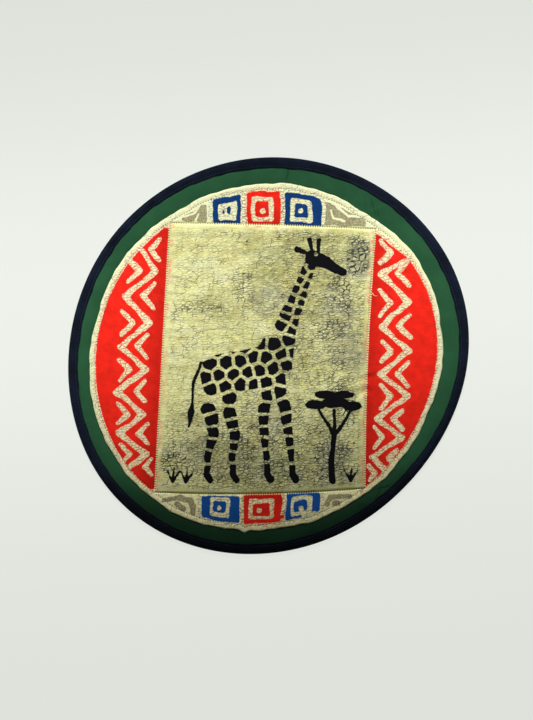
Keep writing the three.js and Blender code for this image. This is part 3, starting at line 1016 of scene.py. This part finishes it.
class Finish:
    """A material in the making, with short ways to add nodes and to join them."""

    def __init__(self, name):
        self.material = bpy.data.materials.new(name)
        self.material.use_nodes = True
        self.tree = self.material.node_tree
        self.shader = self.tree.nodes["Principled BSDF"]
        self.place = self.vector("SCALE", self.node("ShaderNodeTexCoord").outputs["Object"], 1 / MM)
        self.up = self.apart(self.place, (0.0, 1.0, 0.0), "DOT_PRODUCT")

    def node(self, kind, inputs=(), **settings):
        """Adds a node with its settings, and gives it its inputs."""
        node = self.tree.nodes.new(kind)
        for key, value in settings.items():
            setattr(node, key, value)
        for key, value in dict(inputs).items():
            self.put(node.inputs[key], value)
        return node

    def put(self, socket, value):
        """Joins a socket to another, or sets it to a plain value or colour."""
        source = value.socket if isinstance(value, Value) else value
        if isinstance(source, bpy.types.NodeSocket):
            self.tree.links.new(source, socket)
        else:
            socket.default_value = (*source, 1) if socket.type == "RGBA" else source

    def vector(self, operation, vector, other):
        inputs = {0: vector, "Scale" if operation == "SCALE" else 1: other}
        return self.node("ShaderNodeVectorMath", inputs, operation=operation).outputs["Vector"]

    def apart(self, vector, other, operation="DISTANCE"):
        """How far apart two vectors are, or how far one runs along the other."""
        node = self.node("ShaderNodeVectorMath", {0: vector, 1: other}, operation=operation)
        return Value(self, node.outputs["Value"])

    def blend(self, share, under, over, kind="MIX"):
        node = self.node("ShaderNodeMix", data_type="RGBA", blend_type=kind, clamp_factor=True)
        for key, value in ((0, share), (6, under), (7, over)):
            self.put(node.inputs[key], value)
        return node.outputs[2]

    def shaded(self, colour, shade):
        """The colour, darker or lighter by the shade."""
        return self.blend(1.0, colour, shade, "MULTIPLY")

    def noise(self, size, detail=3.0, roughness=0.6, seed=0, stretch=(1.0, 1.0, 1.0)):
        """Soft noise whose lumps are about as wide as the size, in millimetres."""
        place = self.vector("ADD", self.place, (seed * 31.0, seed * 17.0, seed * 7.0))
        place = self.vector("MULTIPLY", place, stretch)
        inputs = {"Vector": place, "Scale": 1.0 / size, "Detail": detail, "Roughness": roughness}
        return Value(self, self.node("ShaderNodeTexNoise", inputs).outputs[0])

    def attribute(self, name):
        return Value(self, self.node("ShaderNodeAttribute", attribute_name=name).outputs["Fac"])

    def weave(self, pitch):
        """The height of a plain weave: threads that pass over and under each other."""
        inputs = {"Vector": self.place, "Scale": math.pi / 10 / pitch, "Distortion": 1.2, "Detail": 1.0,
                  "Detail Scale": 0.6}
        over = [self.node("ShaderNodeTexWave", inputs, wave_type="BANDS", bands_direction=direction)
                for direction in ("X", "Y")]
        return Value(self, over[0].outputs["Fac"]) * over[1].outputs["Fac"]

    def bump(self, height, strength, distance, under=None):
        """A normal raised by a height. The distance is in metres, and one bump may lie over another."""
        node = self.node("ShaderNodeBump", {"Strength": strength, "Distance": distance, "Height": height})
        if under is not None:
            self.put(node.inputs["Normal"], under)
        return node.outputs["Normal"]

    def done(self, colour, roughness, normal):
        looks = {"Base Color": colour, "Roughness": roughness, "Normal": normal, "Specular IOR Level": 0.12,
                 "Sheen Weight": 0.02, "Sheen Roughness": 0.6}
        for key, value in looks.items():
            self.put(self.shader.inputs[key], value)
        return self.material


def drift(finish, seed, size, sway):
    """The place on the mat, moved softly about so that a pattern wanders."""
    place = finish.vector("ADD", finish.place, (seed * 13.0, seed * 5.0, 0.0))
    push = finish.node("ShaderNodeTexNoise", {"Vector": place, "Scale": 1.0 / size, "Detail": 2.0})
    centred = finish.vector("SUBTRACT", push.outputs["Color"], (0.5, 0.5, 0.5))
    return finish.vector("ADD", finish.place, finish.vector("SCALE", centred, sway * 4))


# Kinds of crack: a cell's width and height, the crack's width aside and up, seed and sway
NET = ((4.4, 3.2), (0.55, 0.6), 2, 0.9)
LONG_CRACKS = ((13.0, 7.5), (0.42, 0.48), 4, 2.6)
COARSE = ((4.8, 4.2), (0.75, 0.75), 3, 1.3)
WAXED_LINES = ((4.6, 2.3), (0.34, 0.44), 8, 1.2)
BY_THE_HEM = ((4.8, 4.2), (0.34, 0.34), 9, 1.6)


def cracks(finish, cell, line, seed, sway, weight):
    """Cracks in the wax: 1 on a crack and 0 elsewhere, and each cell's own random colour.

    The cell is its width and height. A crack is where a short step aside or up, the line's width,
    lands in another cell, so cracks are as wide on a cell's ends as on its long sides.
    """
    wide, high = cell
    place = finish.vector("MULTIPLY", drift(finish, seed, 3 * high, sway), (1 / wide, 1 / high, 0.0))
    place = finish.vector("ADD", place, (seed * 41.0, seed * 23.0, 0.0))
    steps = [(line[0] / wide, 0.0, 0.0), (0.0, line[1] / high, 0.0)]
    places = [place] + [finish.vector("ADD", place, finish.vector("SCALE", step, weight)) for step in steps]
    cells = [finish.node("ShaderNodeTexVoronoi", {"Vector": spot, "Scale": 1.0, "Randomness": 0.9},
                         feature="F1", voronoi_dimensions="2D") for spot in places]
    own, aside, above = (cell.outputs["Color"] for cell in cells)
    moved = finish.apart(own, aside).greater(finish.apart(own, above))
    return moved.maths("GREATER_THAN", 0.0001), own


def panel_cotton(finish, colours, sizes, seam, on_panel):
    """The undyed cotton of the panel: its stains and clouds, and the crackle over them."""
    noise, blend = finish.noise, finish.blend
    cracked = finish.attribute("cracked")
    cloud = noise(12, 4.0, seed=1) * 1.1 - 0.55
    olive = (cloud * 0.7 + finish.attribute("olive_stain")).step(0.0, 0.9)
    grey = (cloud + finish.attribute("grey_stain")).step(0.10, 1.0, 0.0, 0.8)
    streaks = noise(5, seed=3, stretch=(0.45, 1.2, 1.0)).step(0.30, 0.72)
    bare = noise(15, seed=18).step(0.46, 0.66, 0.0, 0.5) * (olive * -0.75 + 1.0)
    cotton = blend(noise(24, roughness=0.5, seed=2).step(0.4, 0.65, 0.0, 0.5), colours.cream, colours.pale)
    cotton = blend(olive, cotton, colours.olive)
    cotton = blend(grey, cotton, colours.grey_stain)
    cotton = blend(streaks * 0.3, cotton, colours.pale)
    cotton = blend(bare, cotton, colours.white)
    cotton = blend(noise(17, roughness=0.65, seed=20).step(0.50, 0.66, 0.0, 0.45), cotton, colours.tan)
    courses = noise(3.2, seed=15, stretch=(0.12, 1.0, 1.0)).step(0.3, 0.7, 0.82, 1.04)
    cotton = blend(on_panel, cotton, finish.shaded(cotton, courses))

    # Four kinds of crack, from small bricks to coarse cells, each with its share in every place
    open_cloth = (cracked * 6.0 + seam).step(2.0, 8.0) * on_panel
    weight = (cracked * 0.22 + noise(5, seed=16)).step(0.30, 0.78, 0.55, 1.55)
    fine = (sizes.crackle_length / MM, sizes.crackle_height / MM)
    bricks, tint = cracks(finish, fine, (0.42, 0.60), 1, 0.6, weight)
    net, _ = cracks(finish, *NET, weight)
    long_cracks, _ = cracks(finish, *LONG_CRACKS, weight)
    coarse, _ = cracks(finish, *COARSE, weight)
    brick_share = (cracked * 0.30 + noise(3.6, roughness=0.65, seed=5)).step(0.38, 0.82, 0.18, 1.0)
    net_share = (noise(11, seed=4) + cracked * 0.42).step(0.52, 0.80, 0.0, 0.9)
    long_share = noise(14, 2.0, seed=17).step(0.42, 0.60, 0.0, 0.75)
    heavy = (noise(9, 2.0, seed=6) + cracked * 0.35).step(0.70, 0.88)
    lines = (bricks * brick_share).greater(net * net_share).greater(long_cracks * long_share)
    lines = (lines * (heavy * -0.75 + 1.0)).greater(coarse * heavy)
    lit = Value(finish, tint).step(0.45, 0.8, 0.0, 0.4) * open_cloth
    cotton = blend(lit, cotton, colours.pale)
    return blend(lines * open_cloth, cotton, colours.crackle)


def band_cotton(finish, colours, cotton, hem, on_panel, depth):
    """The whiter cotton round the panel, with painted warm light below it and the dye that ran into its wax,
    over the panel's own.
    """
    noise, blend = finish.noise, finish.blend
    off_panel = on_panel * -1.0 + 1.0
    low = finish.up.step(-50.0, -120.0)
    cotton = blend(off_panel * 0.8, cotton, colours.white)
    # Painted warm light: the cotton below the panel is made warmer and lighter towards the mat's bottom
    cotton = blend(off_panel * low * 0.75, cotton, colours.painted_warm_light)
    in_red = depth["red"].step(-4.4, -3.4) * off_panel * hem.step(3.0, 6.0, 0.55, 1.0)
    in_blue = depth["blue"].step(-4.6, -3.4) * off_panel
    seep = noise(5, seed=7).step(0.35, 0.62, 0.35, 1.5)
    waxed, _ = cracks(finish, *WAXED_LINES, seep)
    blush = noise(1.5, 2.0, 0.7, 19, (1.3, 0.8, 1.0)).step(0.46, 0.66, 0.0, 0.7)
    cotton = blend(blush * depth["red"].step(-3.0, -1.4) * off_panel, cotton, colours.red_seep)
    cotton = blend(waxed * in_red * 0.75, cotton, colours.red_bleed)
    cotton = blend(waxed * in_blue * 0.6, cotton, colours.blue_bleed)
    by_hem = (hem.step(9.0, 2.0) * noise(13, roughness=0.5, seed=8).step(0.42, 0.6)).greater(low * 0.6)
    edge_cracks, _ = cracks(finish, *BY_THE_HEM, seep)
    cotton = blend(edge_cracks * 0.6 * by_hem * off_panel, cotton, colours.edge_crackle)
    by_red = depth["red"].step(-5.5, -0.3, 0.0, 0.9) * noise(15, roughness=0.5, seed=9).step(0.40, 0.54)
    seeps = noise(1.1, 2.0, seed=10, stretch=(0.28, 1.3, 1.0)).step(0.44, 0.60)
    return blend(by_red * seeps * on_panel, cotton, colours.red_seep)


def dyed_over(finish, colours, cotton, seam, depth):
    """The four dyes over the cotton, each a little cloudy and with an uneven edge, the red with painted shade
    near the panel's seam.
    """
    wobble = finish.noise(2.6, 2.0, 0.5) * 1.5 - 0.75
    shade = finish.noise(8, 4.0, 0.65, seed=11).step(0.25, 0.75, 0.84, 1.08)
    cover = {name: (inside + wobble).step(-0.25, 0.25) for name, inside in depth.items()}
    cover["grey"] *= finish.noise(0.9, 2.0, 0.7, seed=12).step(0.40, 0.54) * 0.4 + 0.6
    # The red gets painted shade near the panel's seam, where its cloth dips into the seam; the blue is made
    # lighter towards the mat's bottom
    painted_seam_shade_and_blue_lift = {"red": seam.step(0.0, 22.0, 0.70, 1.0), "blue": finish.up.step(-50.0, -120.0) * 0.95 + 0.90}
    for name in ("grey", "blue", "red", "black"):
        dye = finish.shaded(getattr(colours, name), shade)
        if name in painted_seam_shade_and_blue_lift:
            dye = finish.shaded(dye, painted_seam_shade_and_blue_lift[name])
        cotton = finish.blend(cover[name], cotton, dye)
    return cotton


def needle_teeth_and_hole_shade(finish, colours, colour, seam, pitch):
    """The pale teeth where the stitches pull the panel's seam, and the painted shade of the needle holes
    between them.
    """
    turn = finish.attribute("along").maths("DIVIDE", pitch)
    rolled = (turn * (2 * math.pi)).maths("COSINE") * 0.4 + 0.75
    tooth = (seam - rolled).step(-0.15, 0.15, 1.0, 0.0)
    colour = finish.blend(tooth * 0.85, colour, colours.pale)
    from_hole = abs(turn.maths("FRACT") - 0.5) * pitch
    from_hole_centre = (from_hole * from_hole + seam * seam).maths("SQRT")
    # Painted shade: the needle holes between the teeth are darkened with the crackle's dark colour
    return finish.blend(from_hole_centre.step(0.3, 0.7, 0.9, 0.0), colour, colours.crackle)


def dyed_cotton(colours, sizes):
    """Cream cotton with wax-resist dyes, broad stains and the fine crackle of the wax."""
    finish = Finish("dyed_cotton")
    seam, hem, on_panel = (finish.attribute(name) for name in ("seam", "hem", "panel"))
    depth = {name: finish.attribute(name) for name in ("red", "blue", "grey", "black")}
    cotton = panel_cotton(finish, colours, sizes, seam, on_panel)
    cotton = band_cotton(finish, colours, cotton, hem, on_panel, depth)
    colour = dyed_over(finish, colours, cotton, seam, depth)
    colour = needle_teeth_and_hole_shade(finish, colours, colour, seam, sizes.stitch_pitch / MM)
    wrinkles = finish.noise(1.6, 2.0, 0.55, 14, (0.35, 1.0, 1.0))
    normal = finish.bump(finish.weave(sizes.thread_pitch / MM), 0.2, 0.00012)
    normal = finish.bump(wrinkles, 0.5, 0.0004, normal)
    normal = finish.bump(finish.noise(2.4, seed=13), 0.5, 0.0003, normal)
    return finish.done(colour, 0.88, normal)


# Sharp creases of the green ring, drawn with painted shade and a bump: x, y, direction in degrees, half
# length and strength
CREASES = [(16.4, 159.4, 80.0, 8.0, 0.45), (91.9, 131.2, 106.0, 11.0, 0.3), (96.0, 127.0, 100.0, 7.0, 0.25),
           (100.5, -115.8, 15.7, 10.0, 0.6)]


def creased(finish):
    """How strongly the cloth is creased at each place, which sets its painted crease shade and bump."""
    lines = []
    for x, y, direction, half_length, strength in CREASES:
        turn = math.radians(direction)
        offset = finish.vector("SUBTRACT", drift(finish, 3, 9, 0.9), (x, y, 0.0))
        aside = finish.apart(offset, (math.sin(turn), -math.cos(turn), 0.0), "DOT_PRODUCT")
        along = finish.apart(finish.place, (x, y, GREEN_TOP))
        lines.append(abs(aside).step(1.5, 0.1, 0.0, strength) * along.step(half_length, half_length * 0.4))
    total = lines[0]
    for line in lines[1:]:
        total = total.greater(line)
    return total


def towards_bottom(finish, colour):
    """The colour, darker towards the mat's bottom, where the ring and its tape are darkest."""
    return finish.shaded(colour, finish.up.step(-143.0, -92.0, 0.42, 1.0))


def green_cotton(colours):
    """Plain green cotton, a little brighter where it is rubbed."""
    finish = Finish("green_cotton")
    threads = finish.weave(0.42)
    crease = creased(finish)
    colour = finish.blend(finish.noise(30, 4.0).step(0.3, 0.7), colours.green, colours.deep_green)
    colour = finish.blend(threads.step(0.1, 0.9, 0.0, 0.25), colour, colours.light_green)
    # Painted shade in the creases
    colour = finish.blend(crease, towards_bottom(finish, colour), colours.painted_crease_shade)
    normal = finish.bump(threads, 0.35, 0.00012)
    normal = finish.bump(finish.noise(3, seed=3), 0.5, 0.0004, normal)
    normal = finish.bump(crease * -1.0 + 1.0, 0.8, 0.0006, normal)
    return finish.done(colour, 0.9, normal)


def navy_cotton(colours):
    """Navy cotton tape, cut on the bias, with a little lint."""
    finish = Finish("navy_cotton")
    lint = finish.noise(0.9, 2.0, 0.7, seed=4).step(0.66, 0.74, 0.0, 0.35)
    colour = finish.blend(finish.noise(16, 4.0).step(0.3, 0.7), colours.navy, colours.deep_navy)
    colour = finish.blend(lint, colour, colours.lint)
    return finish.done(towards_bottom(finish, colour), 0.9, finish.bump(finish.weave(0.4), 0.4, 0.00012))


def thread(name, light, dark):
    """Spun cotton thread, twisted from a light and a darker ply."""
    finish = Finish(name)
    inputs = {"Vector": finish.place, "Scale": 1.4, "Distortion": 1.0}
    wave = finish.node("ShaderNodeTexWave", inputs, wave_type="BANDS", bands_direction="DIAGONAL")
    twist = wave.outputs["Fac"]
    return finish.done(finish.blend(twist, dark, light), 0.7, finish.bump(twist, 0.4, 0.0001))


# Stage

FLOOR_TOP = -0.0001
FLOOR_SIZE = 8.0
FLOOR_GLOW = (0.72, 0.75, 0.70)
FLOOR_COLOUR = (0.12, 0.125, 0.118)
AIR_COLOUR = (1.0, 0.94, 0.72)
AIR_STRENGTH = 0.05

# Soft strip lights: place, target, width and height, spread in degrees, and power
LAMPS = {
    "key_light": ((-0.13, 0.93, 0.88), (-0.06, 0.053, 0.0), (0.9, 0.16), 16.7, 0.92),
    "fill_light": ((-0.40, 0.10, 1.20), (0, 0, 0), (0.8, 0.8), 180, 0.15),
    "light_from_below": ((0.2, -0.3, -1.2), (0, 0, 0), (1.0, 1.0), 180, 12.0),
}

# The picture's width and height in pixels, where the middle of the mat's box is in it, how many
# metres a pixel is, and how high the camera is
PICTURE = (533, 720)
PICTURE_MIDDLE = (268.5, 355.7)
PIXEL = 0.8797 * MM
CAMERA_HEIGHT = 1.6
SENSOR_WIDTH = 36.0


class MAT_OT_stage(bpy.types.Operator):
    """Set the pale floor, the soft lights and the camera straight above the mat"""

    bl_idname = "batik_mat.stage"
    bl_label = "Stage"

    def execute(self, context):
        scene = context.scene
        scene.view_settings.view_transform = "Standard"
        self.floor()
        for name, row in LAMPS.items():
            self.lamp(name, *row)
        scene.world = self.studio_air()
        self.camera(scene)
        return {"FINISHED"}

    @staticmethod
    def either(tree, chooser, shader, other, end):
        """Ends a tree with one shader, or with another where the chooser is 1."""
        mixed = tree.nodes.new("ShaderNodeMixShader")
        for socket, source in zip(mixed.inputs, (chooser, shader.outputs[0], other.outputs[0])):
            tree.links.new(source, socket)
        tree.links.new(mixed.outputs[0], tree.nodes[end].inputs["Surface"])

    def studio_air(self):
        """Faint warm light from all round. Where the air itself is seen, it is as pale as the floor."""
        air = bpy.data.worlds.new("studio_air")
        air.use_nodes = True
        tree = air.node_tree
        faint = tree.nodes["Background"]
        faint.inputs["Color"].default_value = (*AIR_COLOUR, 1)
        faint.inputs["Strength"].default_value = AIR_STRENGTH
        pale = tree.nodes.new("ShaderNodeBackground")
        pale.inputs["Color"].default_value = (*FLOOR_GLOW, 1)
        seen = tree.nodes.new("ShaderNodeLightPath").outputs["Is Camera Ray"]
        self.either(tree, seen, faint, pale, "World Output")
        return air

    def floor(self):
        """A plain pale floor just under the mat, clear from below, so that the mat's back can be seen."""
        bpy.ops.object.select_all(action="DESELECT")
        bpy.ops.mesh.primitive_plane_add(size=FLOOR_SIZE, location=(0, 0, FLOOR_TOP))
        floor = bpy.context.active_object
        bpy.ops.object.transform_apply(location=True)
        floor.name = "floor"
        material = bpy.data.materials.new("pale_floor")
        material.use_nodes = True
        tree = material.node_tree
        shader = tree.nodes["Principled BSDF"]
        looks = {"Base Color": (*FLOOR_COLOUR, 1), "Roughness": 1.0, "Specular IOR Level": 0.0,
                 "Emission Color": (*FLOOR_GLOW, 1), "Emission Strength": 1.0}
        for key, value in looks.items():
            shader.inputs[key].default_value = value
        clear = tree.nodes.new("ShaderNodeBsdfTransparent")
        from_below = tree.nodes.new("ShaderNodeNewGeometry").outputs["Backfacing"]
        self.either(tree, from_below, shader, clear, "Material Output")
        floor.data.materials.append(material)

    @staticmethod
    def lamp(name, place, target, size, spread, power):
        """A strip light. Its light fades away from where it is aimed, the more so the less it spreads."""
        light = bpy.data.lights.new(name, "AREA")
        light.shape = "RECTANGLE"
        light.size, light.size_y = size
        light.spread = math.radians(spread)
        light.energy = power
        holder = bpy.data.objects.new(name, light)
        holder.location = place
        aim = Vector(target) - Vector(place)
        holder.rotation_euler = aim.to_track_quat("-Z", "Y").to_euler()
        holder.visible_camera = False
        bpy.context.scene.collection.objects.link(holder)

    @staticmethod
    def camera(scene):
        """A camera straight above, set so that the mat lies in the picture as in the photograph."""
        wide, high = PICTURE
        middle_x, middle_y = PICTURE_MIDDLE
        lens = bpy.data.cameras.new("camera")
        lens.sensor_width = SENSOR_WIDTH
        lens.lens = SENSOR_WIDTH * CAMERA_HEIGHT / (high * PIXEL)
        holder = bpy.data.objects.new("camera", lens)
        holder.location = ((wide / 2 - middle_x) * PIXEL, (middle_y - high / 2) * PIXEL, CAMERA_HEIGHT)
        scene.collection.objects.link(holder)
        scene.camera = holder


# Settings and panel


def colour(name, description, value):
    return FloatVectorProperty(name=name, description=description, subtype="COLOR", size=3, min=0, max=1,
                               default=value)


def length(name, description, value):
    return FloatProperty(name=name, description=description, default=value, min=0.0001, unit="LENGTH",
                         precision=5)


class BatikMatSizes(bpy.types.PropertyGroup):
    cloth_pitch: length("Cloth Pitch", "Distance between the dyed cloth's points", 0.00106)
    thread_pitch: length("Thread Pitch", "Distance between threads of the cotton's weave", 0.00045)
    stitch_pitch: length("Stitch Pitch", "Distance from one machine stitch to the next", 0.0021)
    thread_width: length("Thread Width", "Width of a sewn stitch", 0.0006)
    crackle_length: length("Crackle Length", "Width of a fine cell of the crackle, across the mat", 0.0044)
    crackle_height: length("Crackle Height", "Height of a fine cell of the crackle, up the mat", 0.0020)


class BatikMatColours(bpy.types.PropertyGroup):
    cream: colour("Cream", "Undyed cotton", (0.80, 0.78, 0.33))
    white: colour("White", "Undyed cotton round the panel", (0.90, 0.91, 0.58))
    # Painted warm light on the undyed cotton below the panel
    painted_warm_light: colour("Warm White", "Undyed cotton below the panel", (1.0, 0.93, 0.50))
    pale: colour("Pale", "Undyed cotton where it is lightest", (0.88, 0.88, 0.44))
    olive: colour("Olive", "Olive stains of the undyed cotton", (0.45, 0.43, 0.15))
    tan: colour("Tan", "Warm stains of the undyed cotton", (0.70, 0.62, 0.22))
    grey_stain: colour("Grey Stain", "Grey stains of the undyed cotton", (0.40, 0.40, 0.25))
    crackle: colour("Crackle", "Dye that ran into the cracked wax", (0.035, 0.038, 0.040))
    edge_crackle: colour("Edge Crackle", "Dye in the cracks by the hem", (0.13, 0.16, 0.13))
    red: colour("Red", "Red dye", (0.93, 0.020, 0.008))
    red_bleed: colour("Red Bleed", "Red dye in the cracks", (0.55, 0.05, 0.035))
    red_seep: colour("Red Seep", "Red dye that seeped past the panel's seam", (0.84, 0.17, 0.11))
    blue: colour("Blue", "Blue dye", (0.004, 0.046, 0.195))
    blue_bleed: colour("Blue Bleed", "Blue dye in the cracks", (0.08, 0.10, 0.11))
    grey: colour("Grey", "Grey-brown dye", (0.30, 0.262, 0.135))
    black: colour("Black", "Black dye", (0.002, 0.002, 0.004))
    green: colour("Green", "Green cloth", (0.022, 0.100, 0.041))
    deep_green: colour("Deep Green", "Darker clouds of the green cloth", (0.016, 0.078, 0.032))
    light_green: colour("Light Green", "Raised threads of the green cloth", (0.036, 0.135, 0.062))
    # Painted shade in the green cloth's creases
    painted_crease_shade: colour("In Crease", "Creases of the green cloth", (0.004, 0.020, 0.009))
    navy: colour("Navy", "Edge tape", (0.0052, 0.0102, 0.0235))
    deep_navy: colour("Deep Navy", "Darker clouds of the edge tape", (0.0020, 0.0044, 0.0115))
    thread_cream: colour("Cream Thread", "Thread round the panel", (0.86, 0.85, 0.66))
    thread_blue: colour("Blue Thread", "Thread of the hem", (0.05, 0.07, 0.11))
    lint: colour("Lint", "Lint and raised thread of the edge tape", (0.026, 0.036, 0.06))


MAKING = (MAT_OT_green_ground, MAT_OT_dyed_cloth, MAT_OT_bound_edge, MAT_OT_sewing, MAT_OT_loose_end,
          MAT_OT_stage)


class MAT_PT_make(bpy.types.Panel):
    bl_idname = "MAT_PT_make"
    bl_label = "Batik Table Mat"
    bl_space_type = "VIEW_3D"
    bl_region_type = "UI"
    bl_category = "Batik Mat"

    def draw(self, context):
        for group in (context.scene.batik_mat_sizes, context.scene.batik_mat_colours):
            for key in group.__annotations__:
                self.layout.prop(group, key)
        for operator in MAKING:
            self.layout.operator(operator.bl_idname)


CLASSES = (BatikMatSizes, BatikMatColours, *MAKING, MAT_PT_make)


def register():
    for cls in CLASSES:
        bpy.utils.register_class(cls)
    bpy.types.Scene.batik_mat_sizes = PointerProperty(type=BatikMatSizes)
    bpy.types.Scene.batik_mat_colours = PointerProperty(type=BatikMatColours)


def unregister():
    del bpy.types.Scene.batik_mat_colours
    del bpy.types.Scene.batik_mat_sizes
    for cls in reversed(CLASSES):
        bpy.utils.unregister_class(cls)


def main():
    register()
    bpy.ops.batik_mat.green_ground()
    bpy.ops.batik_mat.dyed_cloth()
    bpy.ops.batik_mat.bound_edge()
    bpy.ops.batik_mat.sewing()
    bpy.ops.batik_mat.loose_end()
    bpy.ops.batik_mat.stage()


if __name__ == "__main__":
    main()
